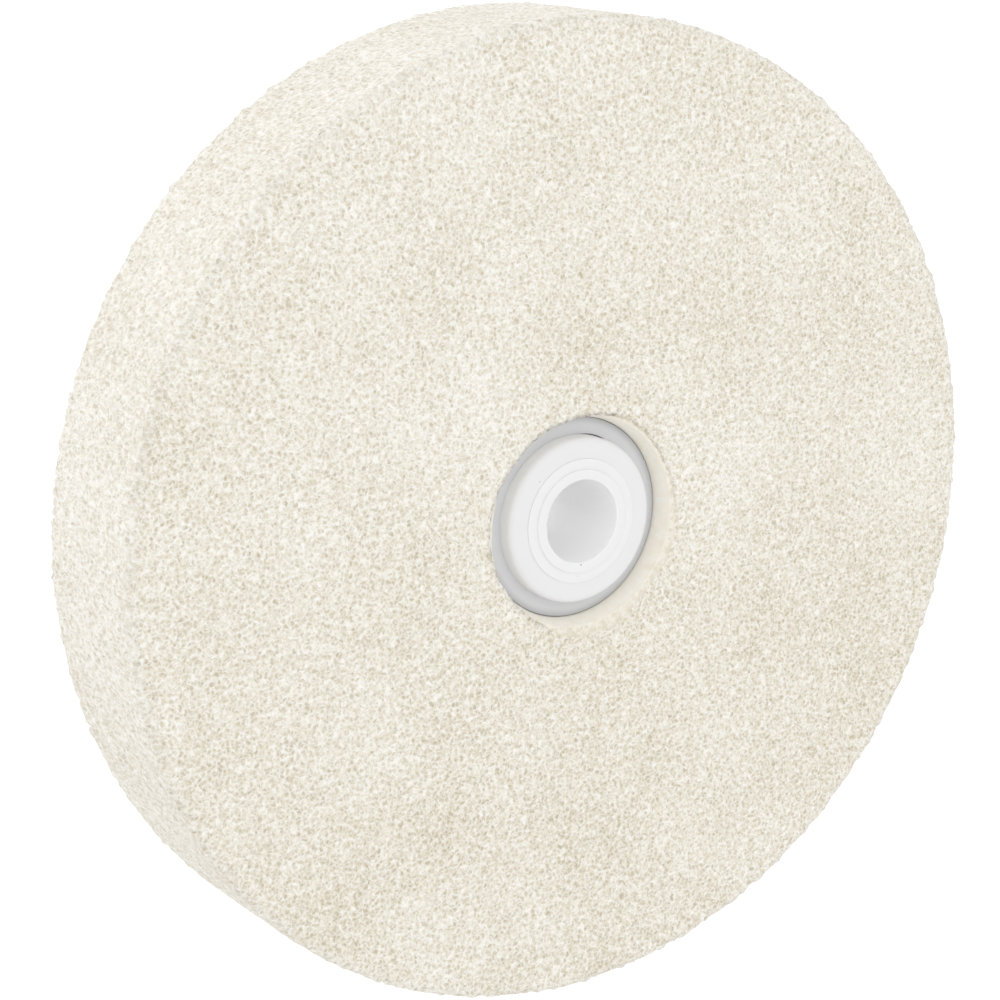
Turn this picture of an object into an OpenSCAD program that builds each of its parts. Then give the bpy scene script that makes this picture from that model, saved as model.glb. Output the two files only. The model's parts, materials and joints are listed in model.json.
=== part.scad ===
// Felt polishing wheel for a bench grinder, 150 mm across, with telescoping reducing bushes.
// The wheel's middle is the origin and its axis lies along Y, with the front face towards -Y.
// A resin lining is cast into the felt's bore, and two sets of four bushes, one set pushed in
// from each face, bring the bore down to the spindle. The two sets meet at mid-width.

/* [Felt disc] */
// Outer diameter of the felt disc
disc_d = 150; // [100:1:250]
// Width of the felt disc along its axis
disc_w = 25; // [18:0.5:60]
// Rounding of the felt disc's two outer edges
disc_edge_r = 1.2; // [0.4:0.1:4]

/* [Bore lining] */
// Thickness of the resin lining that is cast into the felt's bore
lining_wall = 1.55; // [1:0.05:4]
// How much wider the lining's flared mouth is than its bore, on each side
flare = 0.85; // [0.1:0.05:0.9]
// Depth of the flared mouth at each face
flare_depth = 3; // [0.5:0.1:5]

/* [Spindle] */
// Diameter of the spindle that the wheel is clamped on
spindle_d = 12.7; // [8:0.05:20]
// Gap on each side between the spindle and the smallest bush
spindle_gap = 0.05; // [0.02:0.01:0.2]

/* [Small bush] */
// Wall of the smallest bush, which turns a 15.875 mm bore into the spindle's
small_wall = 1.4875; // [0.8:0.0125:4]
// Depth of its face below the felt disc's face
small_depth = 0.15; // [0:0.05:2]
// Rounding of its outer edge
small_edge_r = 0.6; // [0.1:0.05:0.7]

/* [Middle bush] */
// Wall of the next bush out, which turns a 19.05 mm bore into one of 15.875 mm
middle_wall = 1.5375; // [0.8:0.0125:4]
// Depth of its face below the felt disc's face
middle_depth = 0.45; // [0:0.05:2]
// Rounding of its outer edge
middle_edge_r = 0.35; // [0.1:0.05:0.7]

/* [Large bush] */
// Wall of the next bush out, which turns a 25.4 mm bore into one of 19.05 mm
large_wall = 3.125; // [1.2:0.0125:6]
// Depth of its face below the felt disc's face
large_depth = 0.65; // [0:0.05:3]
// Rounding of its outer edge
large_edge_r = 1; // [0.1:0.05:1.1]

/* [Outer bush] */
// Wall of the outermost bush, which turns the lining's 30.9 mm bore into one of 25.4 mm
outer_wall = 2.7; // [1.2:0.05:6]
// Depth of its face below the felt disc's face
outer_depth = 3.3; // [0:0.1:5]
// Rounding of its outer edge
outer_edge_r = 0.35; // [0.1:0.05:1.1]

/* [Fit of the bushes] */
// Gap on each side between a bush and what it is pushed into
slip = 0.05; // [0.02:0.01:0.1]
// Gap between the two bushes of a pair, where they meet at mid-width
pair_gap = 0.02; // [0:0.01:1]
// Bevel on the end of a bush that goes in first
lead_in = 0.4; // [0.1:0.05:0.6]
// Rounding of each bush's hole at its face
hole_edge_r = 0.12; // [0.05:0.01:0.3]

/* [Hidden] */
$fn = 128;

// Radii from the spindle outwards: each bush's hole, and the outside that fits the next hole
small_hole_r = spindle_d / 2 + spindle_gap;
small_r = small_hole_r + small_wall;
middle_hole_r = small_r + slip;
middle_r = middle_hole_r + middle_wall;
large_hole_r = middle_r + slip;
large_r = large_hole_r + large_wall;
outer_hole_r = large_r + slip;
outer_r = outer_hole_r + outer_wall;
bore_r = outer_r + slip;
felt_hole_r = bore_r + lining_wall;

// Distance from mid-width to a face of the felt, and to the end where the bushes of a pair meet
half_w = disc_w / 2;
inner_end = pair_gap / 2;

felt_colour = [0.91, 0.89, 0.83];
resin_colour = [0.89, 0.86, 0.79];
grey_plastic = [0.80, 0.80, 0.81];
white_plastic = [0.94, 0.94, 0.94];

// What a rounding of radius r takes off a corner whose tip is at the origin. The profile lies on
// the side of -X and -Y, and the square runs a little past its edges so that no sliver is left.
module round_off(r) {
    past = 0.1;
    difference() {
        translate([-r, -r]) square(r + past);
        translate([-r, -r]) circle(r);
    }
}

// Turns a profile round the wheel's axis: its X is the radius, and its +Y points to the front
module turned() {
    rotate([90, 0, 0]) rotate_extrude() children();
}

// The same piece at the other face of the wheel
module at_back() {
    mirror([0, 1, 0]) children();
}

// A bush that is pushed in from the front, from its hole to its outside
module bush(hole_r, outside_r, depth, edge_r) {
    face = half_w - depth;
    turned() difference() {
        translate([hole_r, inner_end]) square([outside_r - hole_r, face - inner_end]);
        translate([outside_r, face]) round_off(edge_r);
        translate([hole_r, face]) mirror([1, 0]) round_off(hole_edge_r);
        translate([outside_r, inner_end])
            polygon([[-lead_in, 0], [-lead_in, -1], [1, -1], [1, lead_in], [0, lead_in]]);
    }
}

// Pressed felt wheel body, with both outer edges rounded
module felt_disc() {
    color(felt_colour) turned() difference() {
        translate([felt_hole_r, -half_w]) square([disc_d / 2 - felt_hole_r, disc_w]);
        translate([disc_d / 2, half_w]) round_off(disc_edge_r);
        translate([disc_d / 2, -half_w]) mirror([0, 1]) round_off(disc_edge_r);
    }
}

// Resin cast into the felt's bore, as wide as the felt, with a flared mouth at each face
module bore_lining() {
    color(resin_colour) turned() difference() {
        translate([bore_r, -half_w]) square([lining_wall, disc_w]);
        for (side = [0, 1]) mirror([0, side]) translate([bore_r, half_w])
            polygon([[0, -flare_depth], [flare, 0], [flare, 1], [-1, 1], [-1, -flare_depth]]);
    }
}

module outer_bush() {
    color(grey_plastic) bush(outer_hole_r, outer_r, outer_depth, outer_edge_r);
}

module large_bush() {
    color(white_plastic) bush(large_hole_r, large_r, large_depth, large_edge_r);
}

module middle_bush() {
    color(white_plastic) bush(middle_hole_r, middle_r, middle_depth, middle_edge_r);
}

module small_bush() {
    color(white_plastic) bush(small_hole_r, small_r, small_depth, small_edge_r);
}

felt_disc();
bore_lining();
outer_bush();  // outer_bush_front
at_back() outer_bush();  // outer_bush_back
large_bush();  // large_bush_front
at_back() large_bush();  // large_bush_back
middle_bush();  // middle_bush_front
at_back() middle_bush();  // middle_bush_back
small_bush();  // small_bush_front
at_back() small_bush();  // small_bush_back
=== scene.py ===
# %% [markdown]
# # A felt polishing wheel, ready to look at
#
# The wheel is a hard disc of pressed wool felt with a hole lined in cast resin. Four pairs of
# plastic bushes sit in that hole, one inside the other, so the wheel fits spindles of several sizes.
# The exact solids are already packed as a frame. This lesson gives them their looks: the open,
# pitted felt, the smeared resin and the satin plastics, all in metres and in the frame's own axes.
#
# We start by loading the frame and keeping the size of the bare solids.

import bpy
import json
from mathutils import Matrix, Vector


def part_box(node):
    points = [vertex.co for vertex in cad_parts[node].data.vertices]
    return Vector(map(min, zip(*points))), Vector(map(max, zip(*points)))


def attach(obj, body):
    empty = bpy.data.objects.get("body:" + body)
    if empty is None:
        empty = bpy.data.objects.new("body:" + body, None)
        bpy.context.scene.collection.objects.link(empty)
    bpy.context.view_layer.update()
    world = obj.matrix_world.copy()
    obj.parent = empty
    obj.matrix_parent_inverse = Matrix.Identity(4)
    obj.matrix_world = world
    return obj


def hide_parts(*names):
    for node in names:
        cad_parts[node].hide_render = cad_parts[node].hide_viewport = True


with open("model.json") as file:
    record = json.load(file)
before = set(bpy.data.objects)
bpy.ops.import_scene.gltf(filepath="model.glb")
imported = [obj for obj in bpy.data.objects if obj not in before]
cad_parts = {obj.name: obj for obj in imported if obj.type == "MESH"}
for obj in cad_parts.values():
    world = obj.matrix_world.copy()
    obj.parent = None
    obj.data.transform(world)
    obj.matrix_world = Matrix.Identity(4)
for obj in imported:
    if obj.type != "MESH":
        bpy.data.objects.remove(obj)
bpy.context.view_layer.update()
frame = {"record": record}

MM = 0.001  # sizes are in millimetres unless a comment says metres, and this makes metres of them

# %% Measure the felt disc
import json
import math

import bpy
import numpy as np
from mathutils import Vector, noise


def size_of(node):
    """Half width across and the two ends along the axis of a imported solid, in millimetres."""
    low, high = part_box(node)
    return high.x / MM, low.y / MM, high.y / MM


disc_radius, disc_front, disc_back = size_of("felt_disc")
print("felt disc:", round(disc_radius, 2), "mm in radius")
print("its faces:", round(disc_front, 2), "and", round(disc_back, 2), "mm along the axis")

# %% [markdown]
# ## Camera
#
# A product picture of a small wheel is taken with a long lens from fairly near, standing to the left
# and a little above. We could place the camera by eye, but a heading, a height and a distance say the
# same thing in three numbers that are easy to change. The wheel sits slightly off the middle of the
# frame, which a small lens shift does without turning the camera.

# %% Camera
VIEW_HEADING = math.radians(-34.15)
VIEW_HEIGHT = math.radians(14.88)
VIEW_DISTANCE = 0.4208  # metres
LENS_LENGTH = 99.2
SHIFT_ACROSS = -0.0362
SHIFT_UP = 0.0041
NEAREST_SEEN = 0.01  # metres

from_wheel = Vector((
    math.sin(VIEW_HEADING) * math.cos(VIEW_HEIGHT),
    -math.cos(VIEW_HEADING) * math.cos(VIEW_HEIGHT),
    math.sin(VIEW_HEIGHT),
))
camera_data = bpy.data.cameras.new("camera")
camera_data.lens = LENS_LENGTH
camera_data.shift_x = SHIFT_ACROSS
camera_data.shift_y = SHIFT_UP
camera_data.clip_start = NEAREST_SEEN
camera = bpy.data.objects.new("camera", camera_data)
camera.location = from_wheel * VIEW_DISTANCE
camera.rotation_euler = (-from_wheel).to_track_quat("-Z", "Y").to_euler()
scene = bpy.context.scene
scene.collection.objects.link(camera)
scene.camera = camera
scene.view_settings.view_transform = "Standard"
print("camera at", [round(part, 3) for part in camera.location])

# %% [markdown]
# ## Node helpers
#
# Every finish below is a small network of nodes. A few helpers keep the cells short. The first adds a
# node and fills or links its sockets, and the others add one kind of node each and hand back its
# result, so that a finish reads like a sum.

# %% Add and link nodes


def fill_socket(tree, socket, value):
    """Links the socket if the value is another node's output, or types the value in."""
    if isinstance(value, bpy.types.NodeSocket):
        tree.links.new(value, socket)
    else:
        socket.default_value = value


def add_node(tree, kind, sockets=None, **settings):
    """Adds a node, gives it its settings, then fills the sockets that are named."""
    made = tree.nodes.new(kind)
    for setting, value in settings.items():
        setattr(made, setting, value)
    for name, value in (sockets or {}).items():
        fill_socket(tree, made.inputs[name], value)
    return made


def calc(tree, operation, first, second=0.0):
    """A Math node's result."""
    return add_node(tree, "ShaderNodeMath", {0: first, 1: second}, operation=operation).outputs[0]


def fade(tree, value, start, end, low=0.0, high=1.0):
    """Goes softly from low to high while value goes from start to end."""
    sockets = {"Value": value, "From Min": start, "From Max": end, "To Min": low, "To Max": high}
    made = add_node(tree, "ShaderNodeMapRange", sockets, interpolation_type="SMOOTHSTEP")
    return made.outputs["Result"]


def noise_value(tree, place, density, detail, **sockets):
    """A Noise Texture's value, with about that many lumps per unit of the place it is given."""
    sockets.update({"Vector": place, "Scale": density, "Detail": detail})
    return add_node(tree, "ShaderNodeTexNoise", sockets).outputs["Fac"]


print("five node helpers ready")

# %% Mix colours


def blend(tree, amount, first, second, how="MIX"):
    """A Mix node on two colours. A colour Mix has its sockets at 0, 6 and 7, and its result at 2."""
    made = add_node(tree, "ShaderNodeMix", data_type="RGBA", blend_type=how)
    fill_socket(tree, made.inputs[0], amount)
    fill_socket(tree, made.inputs[6], first)
    fill_socket(tree, made.inputs[7], second)
    return made.outputs[2]


def tone(red, green, blue):
    """A colour picked on screen, 0 to 255 a channel, as the linear colour that nodes want."""
    linear = [((part / 255 + 0.055) / 1.055) ** 2.4 for part in (red, green, blue)]
    return (*linear, 1.0)


print("a mid grey on screen is", round(tone(128, 128, 128)[0], 2), "as a linear colour")

# %% Start and finish a material, and find a place on it


def new_material(name):
    """An empty node material and its tree."""
    made = bpy.data.materials.new(name)
    made.use_nodes = True
    made.node_tree.nodes.clear()
    return made, made.node_tree


def finish_material(tree, surface):
    """Joins the shader to the material's output."""
    add_node(tree, "ShaderNodeOutputMaterial", {"Surface": surface})


def object_place(tree):
    """Object coordinates, which are in metres and move with the piece."""
    return add_node(tree, "ShaderNodeTexCoord").outputs["Object"]


def scaled(tree, vector, by):
    """A vector made longer or shorter."""
    return add_node(tree, "ShaderNodeVectorMath", {0: vector, 3: by}, operation="SCALE").outputs[0]


def millimetres(tree):
    """Object coordinates in millimetres, so that a noise's scale means lumps per millimetre."""
    return scaled(tree, object_place(tree), 1 / MM)


def parts_of(tree, vector):
    """The X, Y and Z of a vector."""
    return add_node(tree, "ShaderNodeSeparateXYZ", {0: vector}).outputs


def from_axis(tree, place):
    """Distance of a place from the wheel's axis."""
    parts = parts_of(tree, place)
    across = calc(tree, "POWER", parts["X"], 2.0)
    upward = calc(tree, "POWER", parts["Z"], 2.0)
    return calc(tree, "SQRT", calc(tree, "ADD", across, upward))


print("places are measured in units of", MM, "m")

# %% [markdown]
# ## Floor and light
#
# The wheel is shown on plain white with no shadow, the way a light tent and a lit table make it look.
# A lit floor that the camera sees as pure white, and that gives the wheel a softer light than that,
# does this with one plane. The sky does the same. A weak lamp at the upper left makes the rim on that
# side slightly brighter, a stronger one high up in front evens out the face, and a lit backdrop
# behind shines through the hole.

# %% Floor and sky
TENT_LIGHT = 0.935
FLOOR_LIGHT = 0.95
CAMERA_WHITE = 1.08
WHITE_LIGHT = (1, 1, 1, 1)
FLOOR_HALF = 6.0  # metres
FLOOR_CORNERS = ((-1, -1), (1, -1), (1, 1), (-1, 1))


def white_for_camera(tree, kind, shade):
    """White where the camera looks at it and a softer light for everything else."""
    seen = add_node(tree, kind, {"Color": WHITE_LIGHT, "Strength": CAMERA_WHITE}).outputs[0]
    given = add_node(tree, kind, {"Color": WHITE_LIGHT, "Strength": shade}).outputs[0]
    looks = add_node(tree, "ShaderNodeLightPath").outputs["Is Camera Ray"]
    return add_node(tree, "ShaderNodeMixShader", {0: looks, 1: given, 2: seen}).outputs[0]


sky = bpy.data.worlds.new("light_tent")
sky.use_nodes = True
sky.node_tree.nodes.clear()
sky_light = white_for_camera(sky.node_tree, "ShaderNodeBackground", TENT_LIGHT)
add_node(sky.node_tree, "ShaderNodeOutputWorld", {"Surface": sky_light})
scene.world = sky

floor_mesh = bpy.data.meshes.new("floor")
floor_height = -disc_radius * MM
corners = [(x * FLOOR_HALF, y * FLOOR_HALF, floor_height) for x, y in FLOOR_CORNERS]
floor_mesh.from_pydata(corners, [], [(0, 1, 2, 3)])
floor = bpy.data.objects.new("floor", floor_mesh)
scene.collection.objects.link(floor)
floor_material, tree = new_material("lit_table")
finish_material(tree, white_for_camera(tree, "ShaderNodeEmission", FLOOR_LIGHT))
floor_mesh.materials.append(floor_material)
print("floor at", round(floor_height / MM, 1), "mm")

# %% Three soft lamps


def soft_lamp(name, place, side, power):
    """A square soft lamp that points at the wheel. Place and side are in metres, power in watts."""
    data = bpy.data.lights.new(name, "AREA")
    data.shape = "SQUARE"
    data.size = side
    data.energy = power
    made = bpy.data.objects.new(name, data)
    made.location = place
    made.rotation_euler = (-Vector(place)).to_track_quat("-Z", "Y").to_euler()
    scene.collection.objects.link(made)
    print(name, "is", round(Vector(place).length, 2), "m away")


soft_lamp("upper_left_lamp", place=(-1.1, -0.9, 1.3), side=1.2, power=0.5)
soft_lamp("front_lamp", place=(-0.7, -1.7, 1.5), side=1.0, power=3.3)
soft_lamp("backdrop_lamp", place=(-0.8, 1.5, 0.7), side=1.6, power=5.0)

# %% [markdown]
# ## Building a turned surface from rings of points
#
# The felt is not smooth: its outline is knobbly and its faces are full of low lumps. A subdivided
# cylinder would spend most of its points on the small circles near the hub, so instead each ring gets
# as many points as its own length needs, and neighbouring rings are sewn together by sweeping round
# both by angle. The points end up evenly spread, and a little noise pushed along the surface then
# gives real relief.

# %% Rings of points, sewn together
FULL_TURN = 2 * math.pi


def ring_angles(count, half_step):
    """Evenly spaced angles, which start half a step round if asked to."""
    return (np.arange(count) + (0.5 if half_step else 0.0)) * FULL_TURN / count


def sew(first, first_angles, second, second_angles):
    """Triangles between two closed rings, given their first point numbers and their angles."""
    made, i, j = [], 0, 0
    count_a, count_b = len(first_angles), len(second_angles)
    while i < count_a or j < count_b:
        next_a = first_angles[(i + 1) % count_a] + FULL_TURN * ((i + 1) // count_a)
        next_b = second_angles[(j + 1) % count_b] + FULL_TURN * ((j + 1) // count_b)
        a, b = first + i % count_a, second + j % count_b
        if j >= count_b or (i < count_a and next_a <= next_b):
            made.append((a, b, first + (i + 1) % count_a))
            i += 1
        else:
            made.append((a, b, second + (j + 1) % count_b))
            j += 1
    return made


coarse, close = ring_angles(6, False), ring_angles(9, True)
print("rings of 6 and 9 points are sewn with", len(sew(0, coarse, 6, close)), "triangles")

# %% Make a piece from points and triangles


def outward(triangles, points):
    """Turns all the triangles over if the closed surface they make is inside out."""
    a, b, c = (points[triangles[:, k]] for k in range(3))
    volume = np.einsum("ij,ij->i", a, np.cross(b, c)).sum()
    return triangles if volume > 0 else triangles[:, ::-1]


def make_piece(name, points_mm, triangles, material, body):
    """Makes the object, smooth shaded, and puts it on its body."""
    mesh = bpy.data.meshes.new(name)
    mesh.from_pydata((points_mm * MM).tolist(), [], triangles.tolist())
    mesh.shade_smooth()
    mesh.materials.append(material)
    made = bpy.data.objects.new(name, mesh)
    scene.collection.objects.link(made)
    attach(made, body)
    print(name, "has", len(mesh.polygons), "triangles")
    return made


# %% [markdown]
# ## How far the resin lip reaches
#
# Whoever cast the lining let the resin run a little way over the felt, further at the bottom than at
# the side. Fifteen listed reaches round the hub, joined up and roughened with a little noise, give
# both the felt and the lining the same uneven edge.

# %% The uneven resin lip
LIP_REACH = {
    0: 16.8, 30: 16.4, 60: 16.5, 80: 16.1, 100: 15.95,
    132: 16.0, 148: 16.15, 172: 16.45, 204: 16.2, 228: 16.1,
    245: 16.3, 262: 17.6, 290: 18.0, 315: 16.9, 340: 17.6,
}  # radius at each angle in degrees, starting at +X and going up
LIP_RAGGED = 0.14
LIP_WAVE = 1.0

disc_hole = size_of("bore_lining")[0]  # the lining fills the felt's hole


def lip_radius(angles, side):
    """Radius of the resin's edge on the felt. Side is -1 on the front face and 1 on the back."""
    degrees = np.degrees(angles) * (1 if side < 0 else -1)
    reach = np.interp(degrees % 360, list(LIP_REACH), list(LIP_REACH.values()), period=360)
    ragged = [
        noise.noise(Vector((math.cos(a), math.sin(a), side)) * disc_hole / LIP_WAVE)
        for a in angles
    ]
    return reach + LIP_RAGGED * np.array(ragged)


print("the felt's hole is", round(disc_hole, 2), "mm in radius")
print("the lip reaches", round(lip_radius([0], -1)[0], 2), "mm at the right")

# %% [markdown]
# ## The felt disc
#
# Hard felt like this is cut from a pressed block, so its faces are flat overall, its corners are
# slightly worn round and the whole skin is pitted. The half section below runs along the front face,
# round the corner, across the rim, back along the rear face and up the hidden wall of the hole.

# %% Stretches of a half section


def corner(centre_r, centre_y, round_r, start, end, steps):
    """Points and outward directions along a rounded corner, with its angles in degrees."""
    made = []
    for k in range(steps + 1):
        angle = math.radians(start + (end - start) * k / steps)
        out_r, out_y = math.cos(angle), math.sin(angle)
        made.append((centre_r + round_r * out_r, centre_y + round_r * out_y, out_r, out_y))
    return made


def straight(start, end, out_r, out_y, step):
    """Points along a straight stretch of the half section, leaving out both ends."""
    steps = max(2, round(math.dist(start, end) / step))
    made = []
    for k in range(1, steps):
        part = k / steps
        radius = start[0] + (end[0] - start[0]) * part
        y = start[1] + (end[1] - start[1]) * part
        made.append((radius, y, out_r, out_y))
    return made


print("a 10 mm stretch in 2 mm steps has", len(straight((0, 0), (10, 0), 0, 1, 2)), "points inside")

# %% The felt's half section
FELT_STEP = 0.74
HIDDEN_STEP = 2.6
CORNER_ROUND = 1.1
CORNER_STEPS = 3
MOUTH_ROUND = 0.35
MOUTH_STEPS = 1


def felt_section():
    """(radius, y, outward radius, outward y, point step) all round the half section."""
    hub, rim = disc_hole + MOUTH_ROUND, disc_radius - CORNER_ROUND
    face = disc_back
    side, mouth = face - CORNER_ROUND, face - MOUTH_ROUND
    visible = corner(hub, -mouth, MOUTH_ROUND, 180, 270, MOUTH_STEPS)
    visible += straight((hub, -face), (rim, -face), 0, -1, FELT_STEP)
    visible += corner(rim, -side, CORNER_ROUND, -90, 0, CORNER_STEPS)
    visible += straight((disc_radius, -side), (disc_radius, side), 1, 0, FELT_STEP)
    visible += corner(rim, side, CORNER_ROUND, 0, 90, CORNER_STEPS)
    visible += straight((rim, face), (hub, face), 0, 1, FELT_STEP)
    visible += corner(hub, mouth, MOUTH_ROUND, 90, 180, MOUTH_STEPS)
    hidden = straight((disc_hole, mouth), (disc_hole, -mouth), -1, 0, HIDDEN_STEP)
    return [(*row, FELT_STEP) for row in visible] + [(*row, HIDDEN_STEP) for row in hidden]


section = felt_section()
print(len(section), "rings round the felt's half section")

# %% [markdown]
# The inner edge of each face follows the resin's lip, and eases back to a plain circle a few
# millimetres out. Where hardly any resin is smeared over the felt, the felt stands a little over the
# lining's flared mouth instead, so that no gap shows between them.

# %% The felt's inner edge
MOUTH_RADIUS = 16.15
SMEAR_FULL = 0.45
BARE_OVERHANG = 0.30
EASE_WIDTH = 4.0


def felt_edge(angles, side):
    """Radius of the felt's inner edge at each angle."""
    reach = np.array(lip_radius(angles, side))
    bare = 1 - np.clip((reach - MOUTH_RADIUS) / SMEAR_FULL, 0, 1)
    return reach - BARE_OVERHANG * bare


def nearness_to_hub(radius):
    """Rises softly from 0, a little way out on the face, to 1 at the hole."""
    part = min(max((disc_hole + EASE_WIDTH - radius) / EASE_WIDTH, 0), 1)
    return part * part * (3 - 2 * part)


print("felt's edge at the right:", round(felt_edge([0], -1)[0], 2), "mm from the axis")

# %% [markdown]
# The lumps are made at two sizes: a broad one that keeps the faces from looking ruled, and one close
# to the size of the pits, which is what makes the outline knobbly. The height of each point is kept on
# the mesh too, because the felt is coloured darker in its hollows, partly for its own tan and partly
# as painted shade. The skin is sunk a little to start with, so that its lumps stand hardly any higher
# than the bare solid's faces.

# %% The felt's lumps
LUMP_SIZE = 0.95
LUMP_HEIGHT = 0.20
RIM_EXTRA = 0.35
CORNER_EXTRA = 1.3
SWELL_SIZE = 4.0
SWELL_HEIGHT = 0.10
FACE_SINK = 0.10
RIM_SINK = 0.20


def felt_lift(place, out_r, out_y, near_hub):
    """How far the skin is pushed outwards at a place, and its lump's height from -1 to 1."""
    lump = noise.noise(place / LUMP_SIZE)
    swell = noise.noise(place / SWELL_SIZE)
    on_rim, on_corner = abs(out_r), min(1, 2 * abs(out_r * out_y))
    knobbly = LUMP_HEIGHT * (1 + RIM_EXTRA * on_rim + CORNER_EXTRA * on_corner)
    sink = FACE_SINK * (1 - near_hub) + RIM_SINK * on_rim
    return knobbly * lump + SWELL_HEIGHT * swell - sink, lump


print("lumps of", LUMP_HEIGHT, "mm on swells of", SWELL_HEIGHT, "mm")

# %% The felt's mesh
MOUTH_DEPTH = 1.0
FEWEST_POINTS = 24


def felt_ring(number, radius, y, out_r, out_y, step):
    """Angles, points and lump heights of one ring of the half section."""
    angles = ring_angles(max(FEWEST_POINTS, round(FULL_TURN * radius / step)), number % 2)
    shown = step == FELT_STEP
    near_hub = nearness_to_hub(radius) if shown else 0
    near_face = max(0, 1 - (disc_back - abs(y)) / MOUTH_DEPTH)
    pull = (disc_hole - felt_edge(angles, -1 if y < 0 else 1)) * near_hub * near_face
    points, heights = [], []
    for angle, inward in zip(angles, pull):
        out = (math.cos(angle), math.sin(angle))
        place = Vector(((radius - inward) * out[0], y, (radius - inward) * out[1]))
        lift, lump = felt_lift(place, out_r, out_y, near_hub) if shown else (0, 0)
        across, upward = out[0] * out_r * lift, out[1] * out_r * lift
        points.append((place.x + across, y + out_y * lift, place.z + upward))
        heights.append(lump)
    return angles, points, heights


def build_felt():
    """Points, triangles and lump heights of the felt disc."""
    points, heights, triangles, rings = [], [], [], []
    for number, row in enumerate(section):
        angles, ring, ring_heights = felt_ring(number, *row)
        rings.append((len(points), angles))
        points += ring
        heights += ring_heights
    for here, there in zip(rings, rings[1:] + rings[:1]):
        triangles += sew(*here, *there)
    points = np.array(points)
    return points, outward(np.array(triangles), points), heights


felt_points, felt_triangles, felt_heights = build_felt()
print(len(felt_points), "points on the felt")
print("lumps on its faces stand up to", round(max(felt_heights) * LUMP_HEIGHT, 2), "mm high")

# %% [markdown]
# ## The felt's finish
#
# Up close the felt is a network of pale, worm-like ridges round small tan pits about a millimetre
# apart, with the odd white fleck of bare wool and soft patches a centimetre or two wide. We could
# paint all that, but patterns worked out from a point's place cover every side evenly. Voronoi cells
# that are bent by a noise give the pits at their middles and the ridges along their walls, and each
# cell's own random colour gives its pit a depth. Four noises add the worms, the fine grain, the
# patches and the flecks. All of it is stretched along the wheel's axis, so the rim shows longer marks
# than the faces do.

# %% The felt's cells
AXIAL_STRETCH = (1.0, 0.6, 1.0)
BEND_DENSITY = 0.9
BEND_DETAIL = 2.0
BEND_MIDDLE = (0.5, 0.5, 0.5)
BEND_REACH = 1.1
PIT_DENSITY = 1.3
PIT_FLOOR = 0.06
PIT_WIDTH = 0.52
RIDGE_WIDTH = 0.22


def vector_calc(tree, operation, first, second):
    """A Vector Math node's result for two vectors."""
    made = add_node(tree, "ShaderNodeVectorMath", {0: first, 1: second}, operation=operation)
    return made.outputs[0]


def felt_places(tree):
    """A place in millimetres, scaled so that patterns stretch along the axis, and one bent by noise."""
    place = vector_calc(tree, "MULTIPLY", millimetres(tree), AXIAL_STRETCH)
    sockets = {"Vector": place, "Scale": BEND_DENSITY, "Detail": BEND_DETAIL}
    bend = add_node(tree, "ShaderNodeTexNoise", sockets).outputs["Color"]
    bend = scaled(tree, vector_calc(tree, "SUBTRACT", bend, BEND_MIDDLE), BEND_REACH)
    return place, vector_calc(tree, "ADD", place, bend)


def felt_cells(tree, bent):
    """The pits, each of its own depth, and the ridges between them, both from 0 to 1."""
    sockets = {"Vector": bent, "Scale": PIT_DENSITY}
    cells = add_node(tree, "ShaderNodeTexVoronoi", sockets).outputs
    walls = add_node(tree, "ShaderNodeTexVoronoi", sockets, feature="DISTANCE_TO_EDGE").outputs
    depth = add_node(tree, "ShaderNodeSeparateColor", {0: cells["Color"]}).outputs[0]
    # A pit's darkening is partly the felt's own tan and partly painted shade.
    dip = fade(tree, cells["Distance"], PIT_FLOOR, PIT_WIDTH, 1.0, 0.0)
    ridges = fade(tree, walls["Distance"], 0.0, RIDGE_WIDTH, 1.0, 0.0)
    return calc(tree, "MULTIPLY", dip, depth), ridges


felt_material, tree = new_material("felt_wool")
place, bent = felt_places(tree)
pits, ridges = felt_cells(tree, bent)
print("pits are about", round(1 / PIT_DENSITY, 2), "mm apart")

# %% The felt's noises
WORM_DENSITY = 1.5
FINE_DENSITY = 3.0
PATCH_DENSITY = 0.05
FLECK_DENSITY = 0.7

worms = noise_value(tree, bent, WORM_DENSITY, detail=1.0)
fine = noise_value(tree, place, FINE_DENSITY, detail=1.0)
patches = noise_value(tree, place, PATCH_DENSITY, detail=3.0)
flecks = noise_value(tree, bent, FLECK_DENSITY, detail=3.0)
# The lump heights darken the hollows: partly the felt's own tan, partly painted shade.
lumps = add_node(tree, "ShaderNodeAttribute", attribute_name="lump_height").outputs["Fac"]
print("patches are about", round(1 / PATCH_DENSITY), "mm wide")

# %% [markdown]
# Each pattern is counted from its own middle and given a share, and the shares are added up round a
# half. A pale patch at the upper left of the hub joins the sum, and so does painted light from above:
# the felt is painted slightly darker towards the bottom and paler towards the top. It then runs
# through a colour ramp, from the tan of a pit to the white of bare wool, and drives a fine bump.

# %% Add the felt's patterns up
EVEN = 0.5
PIT_MIDDLE = 0.17
RIDGE_MIDDLE = 0.25
PIT_TAN_AND_SHADE_SHARE = -0.30
RIDGE_SHARE = 0.38
WORM_SHARE = 1.35
FINE_SHARE = 0.45
PATCH_SHARE = 0.50
HOLLOW_TAN_AND_SHADE_SHARE = 0.20
PALE_PATCH = (-0.017, -0.0125, 0.012)  # metres
PALE_NEAR = 0.004  # metres
PALE_FAR = 0.020  # metres
PALE_SHARE = 0.12
LOW_START = -70.0
LOW_END = 30.0
PAINTED_LOW_SHADE = -0.05
PAINTED_HIGH_LIGHT = 0.02

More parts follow.
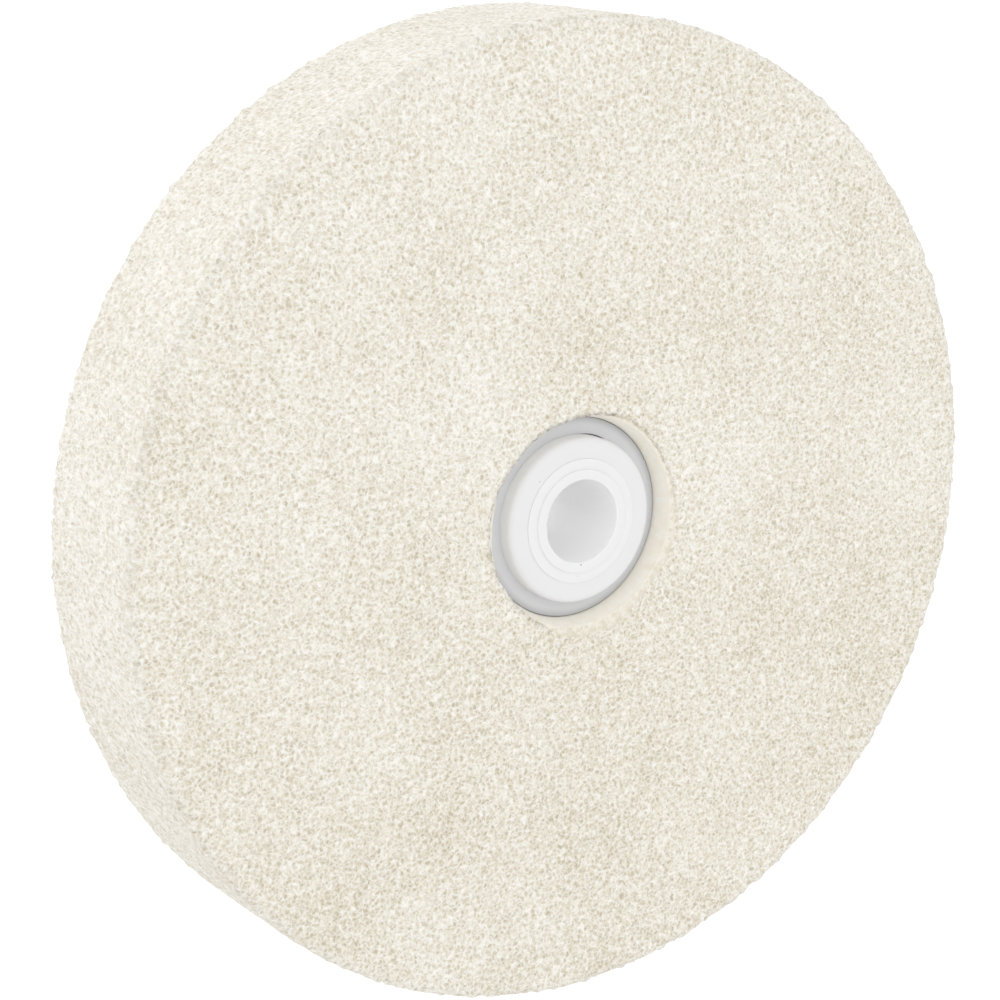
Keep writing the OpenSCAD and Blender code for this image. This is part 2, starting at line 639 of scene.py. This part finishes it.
total = EVEN
for value, middle, share in (
    (pits, PIT_MIDDLE, PIT_TAN_AND_SHADE_SHARE),
    (ridges, RIDGE_MIDDLE, RIDGE_SHARE),
    (worms, EVEN, WORM_SHARE),
    (fine, EVEN, FINE_SHARE),
    (patches, EVEN, PATCH_SHARE),
    (lumps, 0.0, HOLLOW_TAN_AND_SHADE_SHARE),
):
    counted = calc(tree, "SUBTRACT", value, middle)
    total = calc(tree, "ADD", total, calc(tree, "MULTIPLY", counted, share))
to_patch = {0: object_place(tree), 1: PALE_PATCH}
from_patch = add_node(tree, "ShaderNodeVectorMath", to_patch, operation="DISTANCE").outputs["Value"]
pale = fade(tree, from_patch, PALE_NEAR, PALE_FAR, PALE_SHARE, 0.0)
height = parts_of(tree, millimetres(tree))["Z"]
# Painted light from above: darker colour towards the bottom of the wheel, paler towards the top.
painted_light_from_above = fade(tree, height, LOW_START, LOW_END, PAINTED_LOW_SHADE, PAINTED_HIGH_LIGHT)
total = calc(tree, "ADD", total, calc(tree, "ADD", pale, painted_light_from_above))
print("the felt's sum takes", len(tree.nodes), "nodes")

# %% Colour the felt
PIT_TAN_AND_SHADE_COLOUR = tone(207, 196, 172)
WOOL_COLOUR = tone(237, 230, 214)
FLECK_COLOUR = tone(255, 253, 246)
RIM_SHEEN_COLOUR = tone(236, 235, 231)
FLECK_START = 0.60
FLECK_END = 0.72
FLECK_SHARE = 0.55
PAINTED_RIM_SHEEN = 0.18
RIM_START = 2.2
RIM_END = 0.8

ramp = add_node(tree, "ShaderNodeValToRGB", {"Fac": total})
ramp.color_ramp.elements[0].position = 0.0
ramp.color_ramp.elements[0].color = PIT_TAN_AND_SHADE_COLOUR
ramp.color_ramp.elements[1].position = 1.0
ramp.color_ramp.elements[1].color = FLECK_COLOUR
middle = ramp.color_ramp.elements.new(EVEN)
middle.color = WOOL_COLOUR
white = fade(tree, flecks, FLECK_START, FLECK_END, 0.0, FLECK_SHARE)
colour = blend(tree, white, ramp.outputs["Color"], FLECK_COLOUR)
# Painted sheen: near the rim the colour is blended towards a paler one, for the whiter look of wool at
# grazing angles.
out_to = from_axis(tree, millimetres(tree))
on_rim = fade(tree, out_to, disc_radius - RIM_START, disc_radius - RIM_END, 0.0, PAINTED_RIM_SHEEN)
colour = blend(tree, on_rim, colour, RIM_SHEEN_COLOUR)
print("wool colour:", [round(part, 2) for part in WOOL_COLOUR[:3]])

# %% Put the felt on the wheel
FELT_BUMP = 0.14 * MM

bump_sockets = {"Height": total, "Distance": FELT_BUMP, "Strength": 1.0}
felt_shader = add_node(tree, "ShaderNodeBsdfPrincipled", {
    "Base Color": colour,
    "Roughness": 0.95,
    "Specular IOR Level": 0.15,
    "Sheen Weight": 0.12,
    "Sheen Roughness": 0.5,
    "Normal": add_node(tree, "ShaderNodeBump", bump_sockets).outputs[0],
})
finish_material(tree, felt_shader.outputs[0])
felt = make_piece("felt_skin", felt_points, felt_triangles, felt_material, "wheel")
heights = felt.data.attributes.new("lump_height", "FLOAT", "POINT")
heights.data.foreach_set("value", felt_heights)
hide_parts("felt_disc")

# %% [markdown]
# ## Turned pieces with uneven edges
#
# The resin lining and two of the bushes have small irregularities that a perfect turned solid lacks:
# a ragged lip, a hollow in one edge, a few burrs. One helper turns a half section round the axis and
# lets every point's radius depend on the angle as well.

# %% Turning helper
TURN_POINTS = 360


def turn(section_at, count=TURN_POINTS):
    """Points and triangles of a closed ring. section_at(angle) gives (radius, y) rows."""
    angles = ring_angles(count, False)
    rows = np.array([section_at(angle) for angle in angles])
    steps = rows.shape[1]
    radius, y = rows[..., 0], rows[..., 1]
    across, upward = np.cos(angles)[:, None], np.sin(angles)[:, None]
    points = np.stack([radius * across, y, radius * upward], -1).reshape(-1, 3)
    triangles = []
    for k in range(count):
        here, there = k * steps, (k + 1) % count * steps
        for s in range(steps):
            t = (s + 1) % steps
            triangles.append((here + s, here + t, there + t))
            triangles.append((here + s, there + t, there + s))
    return points, outward(np.array(triangles), points)


def bulge(angle, centre, width):
    """1 at the centre angle, fading to 0 within a few widths. Both are in degrees."""
    apart = (math.degrees(angle) - centre + 180) % 360 - 180
    return math.exp(-((apart / width) ** 2))


print("turned pieces get a point every", 360 / TURN_POINTS, "degree")

# %% [markdown]
# ## The resin lining
#
# The resin was poured and scraped, so its wall has faint streaks, its mouth flares out unevenly and
# its lip feathers out under the felt's pits. The lip is a thin apron that dips below the felt at its
# ragged edge. Where no resin reached the face, the apron sinks and the felt covers it.

# %% One mouth of the lining
FIT_GAP = 0.05
FLARE_DEPTH = 3.0
APRON_LIFT = -0.03
BARE_SINK = 0.45
APRON = ((0.75, 0.35), (0.30, 0.13))  # (out past the lip, depth below the face)
LIP_FLAT = 0.4
FLARE = ((0.0, 0.05), (0.10, 0.22), (0.24, 0.60), (0.50, 1.35), (0.78, 2.25))  # (part, depth)

bush_radius = {name: size_of(name + "_bush_front")[0] for name in ("small", "middle", "large", "outer")}
lining_bore = bush_radius["outer"] + FIT_GAP


def mouth_section(lip, mouth, smear):
    """(radius, distance from mid-width) rows from the apron's tip to the foot of the flare."""
    face = disc_back + APRON_LIFT - BARE_SINK * (1 - smear)
    spread = mouth - lining_bore
    rows = [(lip + past, face - depth) for past, depth in APRON]
    rows += [(lip, face), (mouth + (lip - mouth) * LIP_FLAT, face)]
    rows += [(mouth - spread * part, face - depth) for part, depth in FLARE]
    return rows + [(lining_bore, disc_back - FLARE_DEPTH)]


print("bush radii:", {name: round(radius, 2) for name, radius in bush_radius.items()})

# %% The lining's mesh
WALL_STEPS = 12
WALL_WAVE = 0.05
WALL_WAVES = 2.2
BARE_MARGIN = 0.06
LEAST_MARGIN = 0.05
OUTSIDE_DEPTH = 1.2
LINING_POINTS = 540


def lining_section(angle):
    """The lining's half section at one angle round the hub."""
    direction = Vector((math.cos(angle), math.sin(angle), 0))
    wave = WALL_WAVE * noise.noise(direction * WALL_WAVES)
    ends = []
    for side in (-1, 1):
        lip = lip_radius([angle], side)[0]
        smear = min(max((lip - MOUTH_RADIUS) / SMEAR_FULL, 0), 1)
        mouth = MOUTH_RADIUS + wave if smear > 0 else lip + BARE_MARGIN
        mouth = max(mouth, MOUTH_RADIUS - LEAST_MARGIN)
        lip = max(lip, mouth + LEAST_MARGIN)
        ends.append([(radius, side * away) for radius, away in mouth_section(lip, mouth, smear)])
    front, back = ends
    low, high = front[-1][1], back[-1][1]
    wall = [(lining_bore, low + (high - low) * (k / WALL_STEPS)) for k in range(1, WALL_STEPS)]
    outside = [(disc_hole, side * (disc_back - OUTSIDE_DEPTH)) for side in (1, -1)]
    return front + wall + back[::-1] + outside


lining_points, lining_triangles = turn(lining_section, LINING_POINTS)
print("lining mesh:", len(lining_points), "points")

# %% [markdown]
# The resin is a warm off-white with paler streaks along its wall and a few clouds of a deeper tone.
# These colours are brightened as painted light for the wall, which lies in the shade of the bore. On
# its lip, out of that shade, it is duller and mottled. All of that is blended by masks made from
# three noises and from the distance to the axis.

# %% The resin's colour
# Painted light: the resin's colours are brightened for its wall, which lies in the shade of the bore.
RESIN_LIT_WALL_COLOUR = tone(252, 247, 234)
RESIN_SHADE = tone(243, 233, 213)
RESIN_PALE = tone(254, 252, 246)
RESIN_LIP_DARK = tone(222, 213, 193)
RESIN_LIP_PALE = tone(241, 236, 223)
STREAK_STRETCH = (1.0, 0.35, 1.0)
STREAK_DENSITY = 1.1
STREAK_SWIRL = 0.8
STREAK_START = 0.45
STREAK_END = 0.70
STREAK_COVER = 0.7
CLOUD_DENSITY = 0.3
CLOUD_START = 0.56
CLOUD_END = 0.74
CLOUD_COVER = 0.6
FLUFF_DENSITY = 1.4
FLUFF_START = 0.35
FLUFF_END = 0.65
LIP_INSIDE = 0.25
LIP_OUTSIDE = 0.35
LIP_COVER = 0.8

resin_material, tree = new_material("cast_resin")
place = millimetres(tree)
along = {"Vector": place, "Scale": STREAK_STRETCH}
stretched = add_node(tree, "ShaderNodeMapping", along).outputs[0]
streaks = noise_value(tree, stretched, STREAK_DENSITY, detail=4.0, Distortion=STREAK_SWIRL)
cloud = noise_value(tree, place, CLOUD_DENSITY, detail=2.0)
fluff = noise_value(tree, place, FLUFF_DENSITY, detail=2.0)
on_streak = fade(tree, streaks, STREAK_START, STREAK_END, 0.0, STREAK_COVER)
on_cloud = fade(tree, cloud, CLOUD_START, CLOUD_END, 0.0, CLOUD_COVER)
on_fluff = fade(tree, fluff, FLUFF_START, FLUFF_END)
resin = blend(tree, on_streak, RESIN_LIT_WALL_COLOUR, RESIN_PALE)
resin = blend(tree, on_cloud, resin, RESIN_SHADE)
# On the lip, out of the bore's shade, the painted light is taken back to duller, mottled tones.
lip_start, lip_end = MOUTH_RADIUS - LIP_INSIDE, MOUTH_RADIUS + LIP_OUTSIDE
on_lip = fade(tree, from_axis(tree, place), lip_start, lip_end, 0.0, LIP_COVER)
lip = blend(tree, on_fluff, RESIN_LIP_DARK, RESIN_LIP_PALE)
resin = blend(tree, on_lip, resin, lip)
print("the lip's colour starts", round(lip_start, 2), "mm from the axis")

# %% Put the lining on the wheel
RESIN_BUMP = 0.06 * MM
SHARP_LINING = math.radians(50)

bump_sockets = {"Height": streaks, "Distance": RESIN_BUMP, "Strength": 1.0}
resin_shader = add_node(tree, "ShaderNodeBsdfPrincipled", {
    "Base Color": resin,
    "Roughness": 0.55,
    "Specular IOR Level": 0.3,
    "Normal": add_node(tree, "ShaderNodeBump", bump_sockets).outputs[0],
})
finish_material(tree, resin_shader.outputs[0])
lining = make_piece("resin_lining", lining_points, lining_triangles, resin_material, "wheel")
lining.data.set_sharp_from_angle(angle=SHARP_LINING)
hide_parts("bore_lining")

# %% [markdown]
# ## Moulded plastic
#
# All the bushes are moulded in a satin plastic: a white one and a light grey one. Moulded plastic is
# never quite even. It has a very fine grain, a few dark specks caught in the melt and faint rings from
# the mould. One node group makes all of that from a few named values, and each plastic uses it with
# its own. The group also darkens a bush where it meets the next piece, as painted shade, and lightens
# the small bush's hole, as painted light.

# %% A node group for moulded plastic
FLOAT, COLOUR = "NodeSocketFloat", "NodeSocketColor"
moulded = bpy.data.node_groups.new("moulded_plastic", "ShaderNodeTree")
for name, kind in (
    ("Colour", COLOUR),
    ("Speck Colour", COLOUR),
    ("Unevenness", FLOAT),
    ("Seat Radius", FLOAT),
    ("Seat Dirt", FLOAT),
    ("Face Distance", FLOAT),
    ("Hole Radius", FLOAT),
):
    moulded.interface.new_socket(name, in_out="INPUT", socket_type=kind)
moulded.interface.new_socket("Finish", in_out="OUTPUT", socket_type=COLOUR)
moulded.interface.new_socket("Height", in_out="OUTPUT", socket_type=FLOAT)
given = add_node(moulded, "NodeGroupInput").outputs
print("moulded plastic takes", [socket.name for socket in given if socket.name])

# %% Uneven colour, with specks
MELT_DENSITY = 0.3
GRAIN_DENSITY = 6.0
RING_DENSITY = 3.2
MELT_SHARE = 0.6
RING_SHARE = 0.4
SPECK_DENSITY = 0.45
SPECK_SIZE = 0.07
SPECK_CORE = 0.03
SPECK_RARE = 0.5
SPECK_SURE = 0.9

place = millimetres(moulded)
radius = from_axis(moulded, place)
melt = noise_value(moulded, place, MELT_DENSITY, detail=3.0)
grain = noise_value(moulded, place, GRAIN_DENSITY, detail=2.0)
ring_sockets = {"W": radius, "Scale": RING_DENSITY, "Detail": 2.0}
rings = add_node(moulded, "ShaderNodeTexNoise", ring_sockets, noise_dimensions="1D").outputs["Fac"]
melt_part = calc(moulded, "MULTIPLY", melt, MELT_SHARE)
ring_part = calc(moulded, "MULTIPLY", rings, RING_SHARE)
uneven = calc(moulded, "SUBTRACT", calc(moulded, "ADD", melt_part, ring_part), EVEN)
uneven = calc(moulded, "MULTIPLY", uneven, given["Unevenness"])
plain = scaled(moulded, given["Colour"], calc(moulded, "ADD", 1.0, uneven))
spot_sockets = {"Vector": place, "Scale": SPECK_DENSITY}
spots = add_node(moulded, "ShaderNodeTexVoronoi", spot_sockets).outputs
chance = add_node(moulded, "ShaderNodeSeparateColor", {0: spots["Color"]}).outputs[0]
dot = fade(moulded, spots["Distance"], SPECK_SIZE, SPECK_CORE)
speck = calc(moulded, "MULTIPLY", dot, fade(moulded, chance, SPECK_RARE, SPECK_SURE))
speckled = blend(moulded, speck, plain, given["Speck Colour"])
print("a speck may turn up every", round(1 / SPECK_DENSITY, 1), "mm")

# %% Painted shade at the seat and painted light in the hole
SEAT_SHADE_START = 0.22
SEAT_SHADE_END = 0.05
SEAT_SHADE_COVER = 0.72
SHADE_FILM_START = 1.3
SHADE_FILM_COVER = 0.30
SEAT_SHADE_DEPTH = 0.4
SEAT_SHADE_LAST = 0.9
HOLE_LIGHT_WIDTH = 0.12
HOLE_LIGHT_WHITE = (0.97, 0.97, 0.97, 1.0)

# Painted shade: the plastic is darkened near its seat, where it meets the next piece, with a wider
# faint film, both only near the face.
seat_shade_from = calc(moulded, "SUBTRACT", given["Seat Radius"], SEAT_SHADE_START)
shade_film_from = calc(moulded, "SUBTRACT", given["Seat Radius"], SHADE_FILM_START)
seat_shade_to = calc(moulded, "SUBTRACT", given["Seat Radius"], SEAT_SHADE_END)
shade_at_seat = fade(moulded, radius, seat_shade_from, seat_shade_to, 0.0, SEAT_SHADE_COVER)
shade_film = fade(moulded, radius, shade_film_from, seat_shade_to, 0.0, SHADE_FILM_COVER)
painted_seat_shade = calc(moulded, "MULTIPLY", calc(moulded, "MAXIMUM", shade_at_seat, shade_film), given["Seat Dirt"])
along_axis = calc(moulded, "ABSOLUTE", parts_of(moulded, place)["Y"])
below_face = calc(moulded, "SUBTRACT", given["Face Distance"], along_axis)
near_face = fade(moulded, below_face, SEAT_SHADE_DEPTH, SEAT_SHADE_LAST, 1.0, 0.0)
seat_shaded = blend(moulded, calc(moulded, "MULTIPLY", painted_seat_shade, near_face), speckled, given["Speck Colour"])
# Painted light: inside the small bush's hole the colour is lightened to near white, for a wall that
# lies in shade.
hole_light_edge = calc(moulded, "ADD", given["Hole Radius"], HOLE_LIGHT_WIDTH)
painted_hole_light = calc(moulded, "LESS_THAN", radius, hole_light_edge)
finish = blend(moulded, painted_hole_light, seat_shaded, HOLE_LIGHT_WHITE, "LIGHTEN")
print("dirt reaches", SEAT_SHADE_LAST, "mm down from a bush's face")

# %% The plastic's relief
GRAIN_RELIEF = 0.35
RING_RELIEF = 0.65

grain_part = calc(moulded, "MULTIPLY", grain, GRAIN_RELIEF)
ring_part = calc(moulded, "MULTIPLY", rings, RING_RELIEF)
relief = calc(moulded, "ADD", grain_part, ring_part)
add_node(moulded, "NodeGroupOutput", {"Finish": finish, "Height": relief})
print("moulded plastic group has", len(moulded.nodes), "nodes")

# %% [markdown]
# ## The plastics
#
# The three inner pairs are all white, but the large ones are painted a shade duller, as painted shade
# for their deeper place in the hub, with a trace of painted shade at their seat, so they get a material
# of their own. The small bush's hole is painted brighter, as painted light on its shaded wall. The grey
# bush has the most painted shade, in a thin line where it meets the resin.

# %% Three materials from the group
WHITE_TONE = tone(242, 242, 242)
# Painted shade: the large bushes are the same white plastic, made a shade duller for their deeper
# place, and a touch bluer against warm light bounced from the felt.
LARGE_SHADED_TONE = tone(238, 238, 239)
GREY_TONE = tone(221, 222, 225)
SPECK_AND_SHADE_TONE = tone(120, 118, 115)
DARK_SPECK_AND_SHADE_TONE = tone(70, 70, 74)
PLASTIC_BUMP = 0.02 * MM
PLASTIC_RELIEF = 0.6
WHITE_ROUGHNESS = 0.42
GREY_ROUGHNESS = 0.45


def plastic(name, roughness, values):
    """A satin moulded plastic, with values for the group's inputs."""
    made, tree = new_material(name)
    look = add_node(tree, "ShaderNodeGroup", values, node_tree=moulded).outputs
    sockets = {"Height": look["Height"], "Distance": PLASTIC_BUMP, "Strength": PLASTIC_RELIEF}
    shader = add_node(tree, "ShaderNodeBsdfPrincipled", {
        "Base Color": look["Finish"],
        "Roughness": roughness,
        "Normal": add_node(tree, "ShaderNodeBump", sockets).outputs[0],
    })
    finish_material(tree, shader.outputs[0])
    return made


spindle_hole = frame["record"]["mounts"][0]["dims"]["r_mm"]
outer_face = max(abs(end) for end in size_of("outer_bush_front")[1:])
large_face = max(abs(end) for end in size_of("large_bush_front")[1:])
white_plastic = plastic("white_moulding", WHITE_ROUGHNESS, {
    "Colour": WHITE_TONE,
    "Speck Colour": SPECK_AND_SHADE_TONE,
    "Unevenness": 0.05,
    "Seat Radius": bush_radius["large"],
    "Seat Dirt": 0.0,
    "Face Distance": large_face,
    "Hole Radius": spindle_hole,
})
large_shaded_plastic = plastic("large_white_moulding", WHITE_ROUGHNESS, {
    "Colour": LARGE_SHADED_TONE,
    "Speck Colour": SPECK_AND_SHADE_TONE,
    "Unevenness": 0.06,
    "Seat Radius": bush_radius["large"],
    "Seat Dirt": 0.06,
    "Face Distance": large_face,
    "Hole Radius": 0.0,
})
# The grey bush gets the most painted shade, a thin dark line where it meets the resin.
grey_plastic = plastic("grey_moulding", GREY_ROUGHNESS, {
    "Colour": GREY_TONE,
    "Speck Colour": DARK_SPECK_AND_SHADE_TONE,
    "Unevenness": 0.06,
    "Seat Radius": bush_radius["outer"],
    "Seat Dirt": 0.9,
    "Face Distance": outer_face,
    "Hole Radius": 0.0,
})
print("spindle hole:", round(spindle_hole, 2), "mm in radius")

# %% [markdown]
# ## The bushes
#
# Each bush is one turned half section: hole, face, two rounded edges, outside, and the bevelled end
# that goes in first. The real ones fit so well that no gap shows between the whites, so each outside
# is let out until it almost touches its seat. The small irregularities are what make them look used:
# the grey bush has a shallow hollow in its hole's edge that leaves a dark crescent, and a few nicks in
# its outer edge, and the small bush has burrs on its hole's edge.

# %% Hollow, burrs and nicks
SEAM_FILL = 0.045
HOLLOW = {"front": 70, "back": 200}
HOLLOW_SIZE = 0.20
HOLLOW_WIDTH = 11
BURRS = {"front": (166, 171, 184, 188), "back": (20, 28)}
BURR_SIZE = 0.16
BURR_WIDTH = 1.0
NICKS = {"front": (28, 164, 231), "back": (95, 300)}
NICK_SIZE = 0.14
NICK_WIDTH = 0.8
bush_hole = {
    "small": spindle_hole,
    "middle": bush_radius["small"] + FIT_GAP,
    "large": bush_radius["middle"] + FIT_GAP,
    "outer": bush_radius["large"] + FIT_GAP,
}


def hole_at(name, side_name, angle):
    """The hole's radius at the face, with the grey bush's hollow."""
    radius = bush_hole[name]
    if name == "outer":
        radius += HOLLOW_SIZE * bulge(angle, HOLLOW[side_name], HOLLOW_WIDTH)
    return radius


def jut_at(name, side_name, angle):
    """How far the hole's edge juts in at the face, for the small bush's burrs."""
    if name != "small":
        return 0.0
    return sum(BURR_SIZE * bulge(angle, where, BURR_WIDTH) for where in BURRS[side_name])


def outside_at(name, side_name, angle):
    """The outside's radius, let out to the seat, with the grey bush's nicks."""
    radius = bush_radius[name] + SEAM_FILL
    if name == "outer":
        radius -= sum(NICK_SIZE * bulge(angle, where, NICK_WIDTH) for where in NICKS[side_name])
    return radius


print("bush holes:", {name: round(radius, 2) for name, radius in bush_hole.items()})

# %% Bush half sections
HOLE_ROUND = {"small": 0.25, "middle": 0.04, "large": 0.04, "outer": 0.03}
EDGE_ROUND = {"small": 0.7, "middle": 0.6, "large": 0.95, "outer": 0.3}
EDGE_FALL = {"small": 0.15, "middle": 0.12, "large": 0.95, "outer": 0.3}
LEAD_IN = 0.4
HOLLOW_DEPTH = 0.8
EDGE_DEPTH = 3  # where the hole's edge starts below the face, in roundings of that edge
HOLE_STEPS = 4
HOLE_ROUND_STEPS = 4
EDGE_ROUND_STEPS = 6


def hole_rows(name, side_name, face, inner, angle):
    """(radius, distance from mid-width) rows up the hole and round its edge at the face."""
    hole, jut = hole_at(name, side_name, angle), jut_at(name, side_name, angle)
    small_r = HOLE_ROUND[name]
    straight_end = face - HOLLOW_DEPTH
    rows = []
    for k in range(HOLE_STEPS + 1):
        rows.append((bush_hole[name], inner + (straight_end - inner) * k / HOLE_STEPS))
    rows.append((hole, face - small_r * EDGE_DEPTH))
    for k in range(HOLE_ROUND_STEPS + 1):
        turned = math.radians(90 * k / HOLE_ROUND_STEPS)
        across = hole + small_r * (1 - math.cos(turned)) - jut * math.cos(turned / 2)
        rows.append((across, face - small_r * (1 - math.sin(turned))))
    return rows


def outside_rows(name, side_name, face, inner, angle):
    """(radius, distance from mid-width) rows round the outer edge and down to the bevelled end."""
    outside = outside_at(name, side_name, angle)
    rows = []
    for k in range(EDGE_ROUND_STEPS + 1):
        turned = math.radians(90 * k / EDGE_ROUND_STEPS)
        radius = outside - EDGE_ROUND[name] * (1 - math.sin(turned))
        rows.append((radius, face - EDGE_FALL[name] * (1 - math.cos(turned))))
    return rows + [(outside, inner + LEAD_IN), (outside - LEAD_IN, inner)]


def bush_section(name, side_name, face, inner, angle):
    """The half section of one bush at one angle. Face and inner are its two ends."""
    side = -1 if side_name == "front" else 1
    rows = hole_rows(name, side_name, face, inner, angle)
    rows += outside_rows(name, side_name, face, inner, angle)
    return [(radius, side * away) for radius, away in rows]


print("a bush's half section has", len(bush_section("small", "front", 12, 0, 0)), "points")

# %% Make the eight bushes
SHARP_BUSH = math.radians(32)

for name in ("outer", "large", "middle", "small"):
    for side_name in ("front", "back"):
        node_name = name + "_bush_" + side_name
        inner, face = sorted(abs(end) for end in size_of(node_name)[1:])
        points, triangles = turn(lambda angle: bush_section(name, side_name, face, inner, angle))
        finish = {"outer": grey_plastic, "large": large_shaded_plastic}.get(name, white_plastic)
        bush = make_piece(node_name + "_moulding", points, triangles, finish, node_name)
        bush.data.set_sharp_from_angle(angle=SHARP_BUSH)
        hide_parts(node_name)
